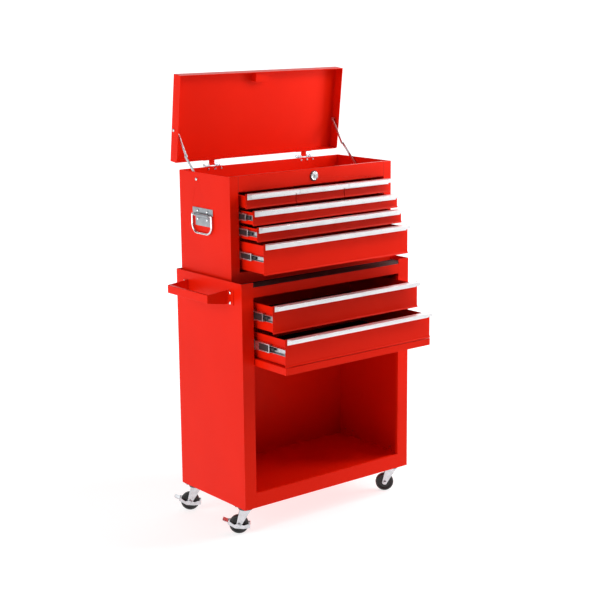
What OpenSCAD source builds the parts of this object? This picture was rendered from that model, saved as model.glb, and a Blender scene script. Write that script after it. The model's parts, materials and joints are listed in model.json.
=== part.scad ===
// Rolling tool chest: a drawer cabinet on four swivel casters, with a lift-off top chest that has
// six drawers and a hinged lid. The drawers stand part open, the lid is up and the flip-up
// door of the lower compartment is pushed part way in under the drawers.
// X is to the right, Y to the back and Z up. The floor is at z = 0.

/* [Cabinet] */
// Outside width of the cabinet
cab_w = 620; // [540:5:760]
// Outside depth of the cabinet
cab_d = 318; // [290:2:400]
// Height of the cabinet's side panels
side_h = 652; // [600:2:800]
// Thickness of the folded sheet steel
sheet = 1.0; // [0.8:0.1:1.4]
// Width of each front post
post_w = 40; // [30:1:55]
// Depth of the lips folded back from the posts and rails
lip_d = 10; // [6:1:14]
// Drop from the side panels' top edges to the top pan
top_recess = 16; // [8:1:24]
// Height of the rail above the drawers
top_rail_h = 29; // [20:1:40]
// Height of the rail below the compartment
base_rail_h = 43.6; // [38:0.2:60]
// Height of the compartment floor above the bottom edge
floor_h = 30; // [20:1:36]
// Width of the bottom flanges that carry the casters
base_flange_w = 66; // [60:1:90]
// Thickness of the rubber mat on the top pan
mat_t = 2; // [1:0.5:4]

/* [Push handle] */
// How far the grip stands out from the side panel
handle_reach = 70; // [50:1:100]
// Thickness of the handle's folded steel
handle_t = 2; // [1.5:0.1:3]
// Distance from the cabinet front to the front bracket
handle_front = 65; // [50:1:90]
// Distance between the two brackets
handle_span = 193; // [150:1:210]
// Length of each screwed flange
handle_flange = 28; // [22:1:48]
// Height of the bracket at the side panel
handle_root_h = 41; // [30:1:60]
// Height of the grip
handle_grip_h = 23; // [18:1:30]
// Depth of the lips folded in along the grip
handle_lip = 9; // [5:1:14]
// Height of the bracket's lower edge above the cabinet's bottom
handle_z = 587; // [540:1:590]

/* [Casters] */
// Height from the floor to the cabinet's bottom edge
caster_h = 84; // [78:1:95]
// Radius of the wheels
wheel_r = 27.5; // [22:0.5:29]
// Width of the wheels
wheel_w = 18; // [16:1:24]
// Distance from the swivel axis to the wheel axle
trail = 20; // [14:1:26]
// Direction in which the wheels trail, turned from the left towards the back
caster_heading = 38.5; // [0:0.5:90]
// Distance from the cabinet's side to the swivel axis
caster_inset_x = 30; // [29:1:40]
// Distance from the cabinet's front to the front swivel axes
caster_front = 40; // [29:1:60]
// Distance from the cabinet's back to the rear swivel axes
caster_rear = 30; // [29:1:60]
// Side of the square mounting plate
plate_w = 50; // [46:1:54]
// Radius of the wheel axle
axle_r = 3; // [2.5:0.1:4]
// Radius of the swivel pin
king_r = 4; // [3:0.1:5]

/* [Cabinet drawers] */
// Height of a cabinet drawer front
low_front_h = 78; // [60:1:90]
// Gap above the upper drawer
low_top_gap = 10; // [6:1:16]
// Gap between the two drawers
low_gap = 5; // [3:0.5:8]
// Depth of a cabinet drawer behind its front
low_box_d = 292; // [250:1:300]
// How far the upper cabinet drawer stands open
low1_open = 84; // [0:1:200]
// How far the lower cabinet drawer stands open
low2_open = 138; // [0:1:200]
// Height of a cabinet drawer slide
low_slide_h = 31; // [27:1:45]
// Thickness of a cabinet drawer slide
low_slide_t = 12.7; // [12:0.1:14]

/* [Door] */
// Thickness of the flip-up door
door_t = 20; // [14:1:24]
// Length of the door from its pins to its free edge
door_l = 380; // [340:1:380]
// Length of the door behind its pins
door_tail = 4; // [3:0.5:5]
// How far the free edge stands out of the cabinet
door_open = 140; // [70:1:300]
// Radius of the rollers
roller_r = 6.3; // [5:0.1:7]
// Radius of the roller pins
roller_pin_r = 3; // [2:0.1:4]

/* [Chest] */
// Outside width of the chest
chest_w = 593; // [510:1:740]
// Outside depth of the chest
chest_d = 245.6; // [230:0.2:300]
// Height of the chest without its lid
chest_h = 300.8; // [296:0.2:380]
// Distance from the cabinet front to the chest front
chest_setback = 64.3; // [40:0.1:80]
// Width of each chest post
chest_post_w = 29; // [22:1:40]
// Height of the chest's front rail
chest_rail_h = 44; // [36:1:60]

/* [Chest drawers] */
// Height of a shallow drawer front
shallow_h = 41; // [36:1:50]
// Height of the deep drawer front
deep_h = 86; // [60:1:110]
// Gap between two drawer fronts
row_gap = 2; // [1.5:0.5:4]
// Gap between the front rail and the top row
top_row_gap = 2.8; // [2:0.1:5]
// Depth of a chest drawer behind its front
chest_box_d = 224; // [190:1:228]
// How far the small drawers stand open
small_open = 29; // [0:1:120]
// How far the upper shallow drawer stands open
wide1_open = 62; // [0:1:150]
// How far the lower shallow drawer stands open
wide2_open = 80; // [0:1:150]
// How far the deep drawer stands open
deep_open = 108; // [0:1:150]
// Height of a chest drawer slide
chest_slide_h = 27; // [24:1:30]
// Thickness of a chest drawer slide
chest_slide_t = 10; // [9.5:0.1:12.7]

/* [Drawer parts] */
// Gap beside a drawer front
front_gap = 2; // [1:0.5:4]
// How far the pull stands out from the front
pull_reach = 20; // [10:0.5:22]
// Height of the pull's lip
pull_lip = 10.5; // [8:0.5:15]
// Height of the pull's back strip
pull_back = 17; // [14:0.5:20]
// Wall of the pull profile
pull_t = 1.6; // [1:0.1:2]
// Distance from the front's end to the pull's end
pull_inset = 6.5; // [2:0.5:15]
// Height of the bead along the front's lower edge
bead_h = 7; // [4:0.5:10]
// How far the bead stands out
bead_reach = 3; // [1:0.5:4]
// Distance from the front's top edge to the drawer's side walls
side_drop = 6; // [3:1:12]
// Wall of the slide members
slide_wall = 1.2; // [1:0.1:1.4]
// Space for the balls between two slide members
ball_gap = 2.0; // [1.5:0.1:2.4]
// Side clearance between two slide members
slide_play = 0.6; // [0.4:0.1:1]

/* [Lid] */
// Angle by which the lid stands open
lid_angle = 83.2; // [60:0.2:90]
// Height of the lid's skirt
lid_h = 34; // [28:1:50]
// How far the skirt hangs over the chest's top edge
lid_lap = 4; // [2:0.5:4]
// Gap between the chest's walls and the lid's skirt at the sides
lid_side_gap = 1.5; // [1.5:0.1:4]
// Gap between the chest's front or back wall and the skirt
lid_end_gap = 1.5; // [1.4:0.1:5]
// Distance of the hinge axis behind the lid
hinge_back = 14; // [11:0.5:16]
// Height of the hinge axis above the chest
hinge_up = 4.0; // [3.6:0.2:8]
// Length of a hinge
hinge_l = 60; // [40:2:80]
// Distance from the middle of the chest to each hinge
hinge_x = 172; // [120:2:200]
// Radius of the hinge pin
hinge_pin_r = 1.5; // [1.2:0.1:2]
// Length of the lower stay link
stay_lower_l = 83; // [80:0.5:90]
// Length of the upper stay link
stay_upper_l = 85; // [84.5:0.5:92]
// Width of the stay links
stay_w = 8; // [6:0.5:8.5]
// Thickness of a stay link
stay_t = 2; // [1:0.2:2.4]
// Radius of the stay rivets
stay_rivet_r = 2.5; // [2:0.1:3]

/* [Lock] */
// Radius of the lock's face
lock_face_r = 12.5; // [10:0.5:15]
// Radius of the lock's barrel
lock_barrel_r = 9.5; // [7:0.5:10]
// Radius of the turning plug
lock_plug_r = 6; // [4:0.5:6.5]
// Length of the barrel behind the rail
lock_l = 17; // [12:1:24]

/* [Carry handles] */
// Radius of the bail wire
bail_r = 3; // [2:0.1:4]
// Width of the bail between the centres of its legs
bail_w = 94; // [80:1:120]
// Length of the bail from its pivot to the middle of its lower bar
bail_drop = 52; // [40:1:70]
// Radius of the bail's lower corners
bail_corner = 25; // [10:1:30]

/* [Hidden] */
$fn = 48;

// Colours
paint = [0.85, 0.1, 0.04];
zinc = [0.75, 0.76, 0.78];
bright = [0.93, 0.93, 0.94];
black = [0.08, 0.08, 0.09];

// Clearances
run_gap = 0.05;
part_gap = 0.3;
head_t = 2;
head_r = 4.5;

// Cabinet levels
half_w = cab_w / 2;
open_half = half_w - post_w;
cab_z = caster_h;
side_top = cab_z + side_h;
pan_z = side_top - top_recess;
chest_z = pan_z + mat_t;
rail_z = chest_z - top_rail_h;
floor_z = cab_z + floor_h;
sill_z = cab_z + base_rail_h;
back_y = cab_d - sheet;

// Cabinet drawers and door
low1_z = rail_z - low_top_gap - low_front_h;
low2_z = low1_z - low_gap - low_front_h;
low_front_half = open_half - front_gap;
low_box_half = open_half - low_slide_t;
door_gap = 2;
door_pin_z = low2_z - door_gap - door_t / 2;
door_pin_y = door_l - door_open;
track_h = 2 * roller_r + 0.4;
track_wall = 1.2;
track_d = 11;
notch_half = track_h / 2 + track_wall + 0.5;

// Chest levels
chest_half = chest_w / 2;
chest_open_half = chest_half - chest_post_w;
chest_back = chest_setback + chest_d;
chest_top = chest_z + chest_h;
tray_z = chest_top - chest_rail_h;
small_z = tray_z - top_row_gap - shallow_h;
wide1_z = small_z - row_gap - shallow_h;
wide2_z = wide1_z - row_gap - shallow_h;
deep_z = wide2_z - row_gap - deep_h;
deep_gap = 7;
chest_sill_z = deep_z - deep_gap;
chest_front_half = chest_open_half - front_gap;
chest_box_half = chest_open_half - chest_slide_t;
small_pitch = (2 * chest_front_half + front_gap) / 3;
small_half = (small_pitch - front_gap) / 2;
flange_w = 7;
flange_gap = 1.5;
rib_half = 0.5;
ledge_z = small_z + shallow_h - side_drop - 2 * sheet - part_gap;

// Lid and hinge, given with the lid closed
lid_half = chest_half + lid_side_gap + sheet;
lid_front = chest_setback - lid_end_gap - sheet;
lid_back = chest_back + lid_end_gap + sheet;
lid_rim = chest_top - lid_lap;
lid_top = lid_rim + lid_h;
rear_rim = chest_top + 1.2;
hinge_y = lid_back + hinge_back;
hinge_z = chest_top + hinge_up;
knuckle_r = hinge_pin_r + 1.5;

// Lid stays: pivots in the Y-Z plane
stay_foot = [chest_setback + 159.2, chest_top - 19.8];
stay_head_closed = [hinge_y - 105.2, hinge_z + 14.6];
stay_head = swing(stay_head_closed, lid_angle);
stay_elbow = elbow(stay_foot, stay_head, stay_lower_l, stay_upper_l);
stay_head_x = chest_half - sheet - 7;
stay_foot_x = stay_head_x + stay_t + 0.8;

// Carry handles
bail_y = (chest_setback + chest_back) / 2 + 8;
bail_z = chest_z + 182;
barrel_r = bail_r + 1.8;
bail_x = chest_half + barrel_r;

// Casters: position signs of the swivel axis
front_left = [-1, 0];
front_right = [1, 0];
rear_left = [-1, 1];
rear_right = [1, 1];
plate_t = 4;
race_h = 6;
race_r = 22;
fork_top = caster_h - plate_t - race_h - part_gap;
fork_t = 2.5;
fork_r = 19;
leg_y = wheel_w / 2 + 2;
leg_t = 2;

// Row origin: the middle of the floor under the whole object
row_min_x = -half_w - handle_reach;
row_max_x = half_w;
row_min_y = -max(low2_open + pull_reach, door_open, low1_open + pull_reach);
row_max_y = swing([lid_back, lid_top], lid_angle)[0];
row_mid = [(row_min_x + row_max_x) / 2, (row_min_y + row_max_y) / 2, 0];

// A point [y, z] of the closed lid after the lid has swung open about its hinge
function swing(p, a) = [
  hinge_y + (p[0] - hinge_y) * cos(a) + (p[1] - hinge_z) * sin(a),
  hinge_z - (p[0] - hinge_y) * sin(a) + (p[1] - hinge_z) * cos(a)
];
// The joint between two links of lengths a and b that start at p and q
function elbow(p, q, a, b) =
  let (d = norm(q - p), e = (q - p) / d, s = (a * a - b * b + d * d) / (2 * d))
  p + s * e + sqrt(max(a * a - s * s, 0)) * [e[1], -e[0]];

module place() {
  translate(-row_mid) children();
}
module both_sides() {
  children();
  mirror([1, 0, 0]) children();
}
// A box between two corners
module slab(lo, hi) {
  translate(lo) cube(hi - lo);
}
// An outline in Y and Z, extruded from x0 to x1
module along_x(x0, x1) {
  translate([x0, 0, 0]) rotate([90, 0, 90]) linear_extrude(x1 - x0) children();
}
// An outline in X and Z, extruded from y0 to y1
module along_y(y0, y1) {
  translate([0, y1, 0]) rotate([90, 0, 0]) linear_extrude(y1 - y0) children();
}
module rod_x(x0, x1, y, z, r) {
  translate([x0, y, z]) rotate([0, 90, 0]) cylinder(r = r, h = x1 - x0);
}
module rod_y(y0, y1, x, z, r) {
  translate([x, y0, z]) rotate([-90, 0, 0]) cylinder(r = r, h = y1 - y0);
}

// Cabinet
module post_lip(z0, z1) {
  slab([open_half, sheet, z0], [open_half + sheet, sheet + lip_d, z1]);
}
module cabinet_shell() {
  place() color(paint) union() {
    both_sides() {
      slab([half_w - sheet, 0, cab_z], [half_w, cab_d, side_top]);
      slab([open_half, 0, cab_z], [half_w, sheet, side_top]);
      post_lip(sill_z, door_pin_z - notch_half);
      post_lip(door_pin_z + notch_half, rail_z);
    }
    slab([-half_w, back_y, cab_z], [half_w, cab_d, side_top]);
  }
}
module cabinet_top() {
  place() color(paint) union() {
    slab([-half_w + sheet, sheet, pan_z - sheet], [half_w - sheet, back_y, pan_z]);
    slab([-open_half, 0, rail_z], [open_half, sheet, chest_z]);
    slab([-open_half, 0, rail_z], [open_half, sheet + lip_d, rail_z + sheet]);
    slab([-open_half, 0, pan_z - sheet], [open_half, 2 * sheet, pan_z]);
  }
}
module cabinet_base() {
  inner = half_w - base_flange_w;
  place() color(paint) union() {
    slab([-half_w + sheet, sheet, floor_z - sheet], [half_w - sheet, back_y, floor_z]);
    slab([-open_half, 0, cab_z], [open_half, sheet, sill_z]);
    slab([-open_half, 0, sill_z - sheet], [open_half, sheet + lip_d, sill_z]);
    slab([-open_half, 0, floor_z - sheet], [open_half, 2 * sheet, floor_z]);
    both_sides() {
      slab([inner, sheet, cab_z], [half_w - sheet, back_y, cab_z + sheet]);
      slab([inner, sheet, cab_z], [inner + sheet, back_y, floor_z]);
    }
  }
}
module top_mat() {
  edge = 1;
  place() color(black)
    slab([-half_w + sheet + edge, sheet + edge, pan_z], [half_w - sheet - edge, back_y - edge, chest_z]);
}

// The handle is one strip of steel: flange, bracket, grip, bracket, flange
module handle_end() {
  root = [0, handle_z];
  grip = [-handle_reach, handle_z + 11];
  along_y(-handle_t, 0)
    polygon([root, [0, root[1] + handle_root_h], [grip[0], grip[1] + handle_grip_h], grip]);
  slab([-handle_t, -handle_flange, handle_z], [0, 0, handle_z + handle_root_h]);
}
module push_handle() {
  grip_z = handle_z + 11;
  grip_top = grip_z + handle_grip_h;
  lip_x = -handle_reach + handle_lip;
  place() color(paint) translate([-half_w, 0, cab_z]) union() {
    translate([0, handle_front, 0]) handle_end();
    translate([0, handle_front + handle_span, 0]) mirror([0, 1, 0]) handle_end();
    translate([0, handle_front - handle_t, 0]) {
      slab([-handle_reach, 0, grip_z], [-handle_reach + handle_t, handle_span + 2 * handle_t, grip_top]);
      slab([-handle_reach, 0, grip_top - handle_t], [lip_x, handle_span + 2 * handle_t, grip_top]);
      slab([-handle_reach, 0, grip_z], [lip_x, handle_span + 2 * handle_t, grip_z + handle_t]);
    }
  }
}
module cabinet_screws() {
  front_y = handle_front - handle_flange / 2;
  rear_y = handle_front + handle_span + handle_flange / 2;
  handle_mid = cab_z + handle_z + handle_root_h / 2;
  pitch = 14;
  flange_x = -half_w - handle_t;
  place() color(bright) {
    for (y = [front_y, rear_y], s = [-1, 1])
      rod_x(flange_x - head_t, flange_x, y, handle_mid + s * pitch, head_r);
    both_sides() for (p = [[75, 12], [cab_d - 64, 19], [cab_d - 30, 20]])
      rod_x(half_w - sheet - head_t, half_w - sheet, p[0], floor_z + p[1], 3);
  }
}

// Door
module door_tracks() {
  outer = track_h / 2 + track_wall;
  web = open_half + 0.5 + track_d;
  place() color(zinc) both_sides() union() {
    slab([web, 3, door_pin_z - outer], [web + track_wall, back_y, door_pin_z + outer]);
    for (s = [-1, 1])
      slab([open_half + 0.5, 3, door_pin_z + s * (outer - track_wall / 2) - track_wall / 2],
           [web, back_y, door_pin_z + s * (outer - track_wall / 2) + track_wall / 2]);
    for (y = [20, back_y - 40])
      slab([web + track_wall, y, door_pin_z - 1], [half_w - sheet, y + 20, door_pin_z + 1]);
  }
}
module door_panel() {
  w = open_half - front_gap;
  y0 = door_pin_y - door_l;
  y1 = door_pin_y + door_tail;
  z0 = door_pin_z - door_t / 2;
  z1 = z0 + door_t;
  place() color(paint) difference() {
    slab([-w, y0, z0], [w, y1, z1]);
    slab([-w + sheet, y0 + sheet, z0 - 1], [w - sheet, y1 - sheet, z1 - sheet]);
    rod_x(-w - 1, w + 1, door_pin_y, door_pin_z, roller_pin_r + run_gap);
  }
}
module door_rollers() {
  w = open_half - front_gap;
  place() color(black) both_sides() union() {
    rod_x(w - 6, open_half + 4, door_pin_y, door_pin_z, roller_pin_r);
    rod_x(open_half + 3, open_half + 3 + track_d - 4, door_pin_y, door_pin_z, roller_r);
  }
}

// Casters
// Everything of one caster is drawn about its swivel axis, trailing to the left
module caster_at(c, turn) {
  x = c[0] * (half_w - caster_inset_x);
  y = c[1] == 0 ? caster_front : cab_d - caster_rear;
  place() translate([x, y, 0]) rotate(-turn) children();
}
module caster_plates() {
  low = caster_h - plate_t - race_h;
  color(black) for (c = [front_left, front_right, rear_left, rear_right]) caster_at(c, 0) {
    difference() {
      union() {
        slab([-plate_w / 2, -plate_w / 2, caster_h - plate_t], [plate_w / 2, plate_w / 2, caster_h]);
        translate([0, 0, low]) cylinder(r = race_r, h = race_h);
      }
      translate([0, 0, low - 1]) cylinder(r = king_r + run_gap, h = race_h + plate_t + 2);
    }
    for (x = [-1, 1], y = [-1, 1])
      translate([x * (plate_w / 2 - 6), y * (plate_w / 2 - 6), caster_h - plate_t - 3]) cylinder(r = 4, h = 3);
  }
}
module fork_leg() {
  along_y(-leg_t, 0) union() {
    polygon([[-17, fork_top], [17, fork_top], [-trail + 7.5, wheel_r - 1], [-trail - 7.5, wheel_r + 1]]);
    translate([-trail, wheel_r]) circle(r = 7.5);
  }
}
module caster_fork(c) {
  end_y = leg_y + leg_t;
  caster_at(c, caster_heading) color(zinc) union() {
    translate([0, 0, fork_top - fork_t]) cylinder(r = fork_r, h = fork_t);
    slab([-17, -end_y, fork_top - fork_t], [17, end_y, fork_top]);
    translate([0, -leg_y, 0]) fork_leg();
    translate([0, end_y, 0]) fork_leg();
    translate([0, 0, fork_top - fork_t]) cylinder(r = king_r, h = caster_h - fork_top + fork_t - 1);
    rod_y(-end_y - 4, end_y + 4, -trail, wheel_r, axle_r);
    rod_y(-end_y - 6, -end_y - 3, -trail, wheel_r, axle_r + 2);
    rod_y(end_y + 3, end_y + 6, -trail, wheel_r, axle_r + 2);
  }
}
module caster_wheel(c) {
  r = wheel_r;
  h = wheel_w / 2;
  hub = h + 1.5;
  bore = axle_r + run_gap;
  caster_at(c, caster_heading) color(black)
    translate([-trail, 0, wheel_r]) rotate([90, 0, 0]) rotate_extrude()
      polygon([[bore, -hub], [8, -hub], [8, -h + 2], [r - 9, -h + 2], [r - 7, -h], [r - 3, -h], [r, -h + 4],
               [r, h - 4], [r - 3, h], [r - 7, h], [r - 9, h - 2], [8, h - 2], [8, hub], [bore, hub]]);
}
// A rocker on the wheel's axle, outside the fork: side plates joined by a bar ahead of the
// wheel and by the pedal behind it
module brake_pedal(c) {
  y0 = leg_y + leg_t + part_gap;
  y1 = y0 + 1.5;
  reach = wheel_r + 3.5;
  caster_at(c, caster_heading) color(zinc) translate([-trail, 0, wheel_r]) difference() {
    union() {
      for (y = [-y1, y0]) along_y(y, y + 1.5) union() {
        polygon([[-reach - 1.5, 11], [-reach - 1.5, 4], [-11, -9], [12, -11], [reach + 1.5, -9],
                 [reach + 1.5, 3], [reach - 6, 3], [14, -1], [0, 6], [-13, 2], [-reach + 6, 11]]);
        circle(r = 7);
      }
      slab([-reach - 1.5, -y1, 4], [-reach, y1, 11]);
      slab([reach, -y1, -9], [reach + 1.5, y1, 3]);
      along_y(-y1, y1)
        polygon([[-reach - 1.5, 11], [-reach - 1.5, 8.5], [-reach - 14, 14], [-reach - 14.5, 16.5]]);
    }
    rod_y(-y1 - 1, y1 + 1, 0, 0, axle_r + run_gap);
  }
}

// Slides: member sections are drawn for the right side and mirrored
// A channel with its web at x from w to w + wall and its flanges reaching to x = e
module channel(w, e, h, z, y0, y1) {
  slab([w, y0, z - h / 2], [w + slide_wall, y1, z + h / 2]);
  for (s = [-1, 1])
    slab([min(w, e), y0, z + s * (h - slide_wall) / 2 - slide_wall / 2],
         [max(w + slide_wall, e), y1, z + s * (h - slide_wall) / 2 + slide_wall / 2]);
}
function mid_h(h) = h - 2 * slide_wall - 2 * ball_gap;
module slide_rail(half, h, d, z, y0, y1, back) {
  both_sides() union() {
    channel(half - slide_wall, half - d + 3, h, z, y0, y1);
    slab([half - slide_wall, y0, z - h / 2], [half, back, z + h / 2]);
  }
}
module slide_mid(half, h, d, z, y0, y1) {
  both_sides() channel(half - 2 * slide_wall - slide_play, half - d + 1.5, mid_h(h), z, y0, y1);
}
module slide_runner(half, h, d, z, y0, y1) {
  both_sides() channel(half - d, half - 2 * slide_wall - 2 * slide_play, mid_h(mid_h(h)), z, y0, y1);
}
low_slide_y = [2, back_y - 21];
chest_slide_y = [chest_setback + 2, chest_back - sheet - 18];
module cabinet_slide_rails() {
  place() color(zinc) for (z = [low1_z, low2_z])
    slide_rail(open_half, low_slide_h, low_slide_t, z + low_front_h / 2, low_slide_y[0], low_slide_y[1], back_y);
}
module chest_slide_rails() {
  place() color(zinc) for (row = [[wide1_z, shallow_h], [wide2_z, shallow_h], [deep_z, deep_h]])
    slide_rail(chest_open_half, chest_slide_h, chest_slide_t, row[0] + row[1] / 2,
               chest_slide_y[0], chest_slide_y[1], chest_back - sheet);
}
module low_mid_slides(z, open) {
  place() color(zinc)
    slide_mid(open_half, low_slide_h, low_slide_t, z + low_front_h / 2,
              low_slide_y[0] + 1 - open / 2, low_slide_y[1] - 2 - open / 2);
}
module low_runners(z, open) {
  place() color(zinc)
    slide_runner(open_half, low_slide_h, low_slide_t, z + low_front_h / 2,
                 sheet - open, low_slide_y[1] - 4 - open);
}
module chest_mid_slides(z, h, open) {
  place() color(zinc)
    slide_mid(chest_open_half, chest_slide_h, chest_slide_t, z + h / 2,
              chest_slide_y[0] + 1 - open / 2, chest_slide_y[1] - 2 - open / 2);
}
module chest_runners(z, h, open) {
  place() color(zinc)
    slide_runner(chest_open_half, chest_slide_h, chest_slide_t, z + h / 2,
                 chest_setback + sheet - open, chest_slide_y[1] - 4 - open);
}

// Drawers
// Front panel with a bead along its lower edge; its face lies at y = 0
module drawer_front(x0, x1, h) {
  along_x(x0, x1)
    polygon([[sheet, 0], [-bead_reach, 0], [-bead_reach, 2], [0, bead_h], [0, h], [sheet, h]]);
}
// Tray behind the front, from x0 to x1, d deep
module drawer_box(x0, x1, h, d) {
  top = h - side_drop;
  slab([x0, 0, sheet], [x1, d, 2 * sheet]);
  slab([x0, 0, sheet], [x0 + sheet, d, top]);
  slab([x1 - sheet, 0, sheet], [x1, d, top]);
  slab([x0, d - sheet, sheet], [x1, d, top]);
}
// Drip edge of the front: a J section, open below, screwed to the face
module drawer_pull(x0, x1, h) {
  t = pull_t;
  along_x(x0 + pull_inset, x1 - pull_inset)
    polygon([[0, h - pull_back], [0, h], [-pull_reach, h], [-pull_reach, h - pull_lip],
             [-pull_reach + t, h - pull_lip], [-pull_reach + t, h - t], [-t, h - t], [-t, h - pull_back]]);
}
module low_drawer(z, open) {
  place() color(paint) translate([0, -open, z]) union() {
    drawer_front(-low_front_half, low_front_half, low_front_h);
    drawer_box(-low_box_half, low_box_half, low_front_h, low_box_d);
  }
}
module low_pull(z, open) {
  place() color(bright) translate([0, -open, z])
    drawer_pull(-low_front_half, low_front_half, low_front_h);
}
module wide_drawer(z, h, open) {
  place() color(paint) translate([0, chest_setback - open, z]) union() {
    drawer_front(-chest_front_half, chest_front_half, h);
    drawer_box(-chest_box_half, chest_box_half, h, chest_box_d);
  }
}
module wide_pull(z, h, open) {
  place() color(bright) translate([0, chest_setback - open, z])
    drawer_pull(-chest_front_half, chest_front_half, h);
}
// Small drawers hang by their side flanges; column is -1, 0 or 1
module small_drawer(column) {
  top = shallow_h - side_drop;
  edge = small_half - flange_gap;
  box = edge - flange_w;
  place() color(paint) translate([column * small_pitch, chest_setback - small_open, small_z]) union() {
    drawer_front(-small_half, small_half, shallow_h);
    drawer_box(-box, box, shallow_h, chest_box_d);
    both_sides() slab([box - sheet, 0, top - sheet], [edge, chest_box_d, top]);
  }
}
// Its pull stops short of the neighbour's by 1.5 mm on each side
module small_pull(column) {
  near = pull_inset - 0.5;
  x0 = -small_half - (column == -1 ? 0 : near);
  x1 = small_half + (column == 1 ? 0 : near);
  place() color(bright) translate([column * small_pitch, chest_setback - small_open, small_z])
    drawer_pull(x0, x1, shallow_h);
}

// Chest
module chest_shell() {
  back = chest_back - sheet;
  place() color(paint) difference() {
    union() {
      both_sides() {
        slab([chest_half - sheet, chest_setback, chest_z], [chest_half, chest_back, chest_top]);
        slab([chest_open_half, chest_setback, chest_z], [chest_half, chest_setback + sheet, chest_top]);
        slab([chest_open_half, chest_setback, chest_sill_z],
             [chest_open_half + sheet, chest_setback + sheet + lip_d, tray_z - sheet]);
      }
      slab([-chest_half, back, chest_z], [chest_half, chest_back, chest_top]);
      slab([-chest_open_half, chest_setback, tray_z], [chest_open_half, chest_setback + sheet, chest_top]);
      slab([-chest_half, chest_setback, chest_top - sheet],
           [chest_half, chest_setback + sheet + lip_d, chest_top]);
    }
    rod_y(chest_setback - 1, chest_setback + 5, 0, lock_z, lock_barrel_r + part_gap);
    for (s = [-1, 1])
      rod_x(s * chest_half - 5, s * chest_half + 5, stay_foot[0], stay_foot[1], stay_rivet_r + run_gap);
  }
}
module chest_base() {
  place() color(paint) union() {
    slab([-chest_half + sheet, chest_setback + sheet, chest_z],
         [chest_half - sheet, chest_back - sheet, chest_z + sheet]);
    slab([-chest_open_half, chest_setback, chest_z], [chest_open_half, chest_setback + sheet, chest_sill_z]);
    slab([-chest_open_half, chest_setback, chest_z],
         [chest_open_half, chest_setback + 2 * sheet, chest_z + sheet]);
    slab([-chest_open_half, chest_setback, chest_sill_z - sheet],
         [chest_open_half, chest_setback + sheet + lip_d, chest_sill_z]);
  }
}
// Floor of the top compartment, with the ribs that the small drawers' flanges run on
module chest_tray() {
  y0 = chest_setback + sheet + lip_d + 1;
  y1 = chest_back - 8;
  rib = small_pitch / 2;
  ledge_w = flange_w + flange_gap - 0.5;
  outer = chest_front_half + 0.5;
  place() color(paint) union() {
    slab([-chest_half + sheet, chest_setback + sheet, tray_z - sheet],
         [chest_half - sheet, chest_back - sheet, tray_z]);
    both_sides() {
      slab([rib - rib_half, y0, ledge_z], [rib + rib_half, y1, tray_z]);
      slab([rib - rib_half - ledge_w, y0, ledge_z], [rib + rib_half + ledge_w, y1, ledge_z + sheet]);
      slab([outer, y0, ledge_z], [outer + sheet, y1, tray_z]);
      slab([outer - ledge_w, y0, ledge_z], [outer, y1, ledge_z + sheet]);
    }
  }
}
module handle_plates() {
  upper_w = 98;
  lower_w = 70;
  face = chest_half + 2;
  place() color(zinc) both_sides() {
    difference() {
      union() {
        slab([chest_half, bail_y - upper_w / 2, bail_z + 1], [face, bail_y + upper_w / 2, bail_z + 20]);
        slab([chest_half, bail_y - lower_w / 2, bail_z - 31], [face, bail_y + lower_w / 2, bail_z + 1]);
        rod_y(bail_y - lower_w / 2, bail_y + lower_w / 2, bail_x, bail_z, barrel_r);
      }
      rod_y(bail_y - upper_w, bail_y + upper_w, bail_x, bail_z, bail_r + run_gap);
    }
    for (y = [-23, 23], z = [11, -12])
      rod_x(face, face + head_t, bail_y + y, bail_z + z, 4);
  }
}
module bail() {
  leg = bail_w / 2;
  low = bail_drop - bail_corner;
  union() {
    rod_y(-leg, leg, 0, 0, bail_r);
    for (s = [-1, 1]) {
      translate([0, s * leg, 0]) sphere(r = bail_r);
      translate([0, s * leg, -low]) cylinder(r = bail_r, h = low);
    }
    rod_y(-leg + bail_corner, leg - bail_corner, 0, -bail_drop, bail_r);
    for (s = [0, 1]) mirror([0, s, 0])
      translate([0, leg - bail_corner, -low]) rotate([0, 90, 0])
        rotate_extrude(angle = 90) translate([bail_corner, 0]) circle(r = bail_r);
  }
}
module carry_handle(side) {
  place() color(bright) translate([side * bail_x, bail_y, bail_z]) bail();
}

// Lock
lock_z = chest_top - 20.8;
module lock_housing() {
  place() color(bright) difference() {
    union() {
      rod_y(chest_setback - 2.8, chest_setback, 0, lock_z, lock_face_r);
      rod_y(chest_setback, chest_setback + lock_l, 0, lock_z, lock_barrel_r);
    }
    rod_y(chest_setback - 5, chest_setback + lock_l + 5, 0, lock_z, lock_plug_r + run_gap);
  }
}
module lock_plug() {
  back = chest_setback + lock_l + part_gap;
  cam_l = 26;
  place() color(zinc) union() {
    difference() {
      rod_y(chest_setback - 3.2, back, 0, lock_z, lock_plug_r);
      slab([-0.8, chest_setback - 4, lock_z - 3.5], [0.8, chest_setback + 6, lock_z + 3.5]);
    }
    rod_y(back, back + 2, 0, lock_z, lock_plug_r + 1.5);
    slab([0, back, lock_z - 5], [cam_l, back + 2, lock_z + 5]);
  }
}

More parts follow.
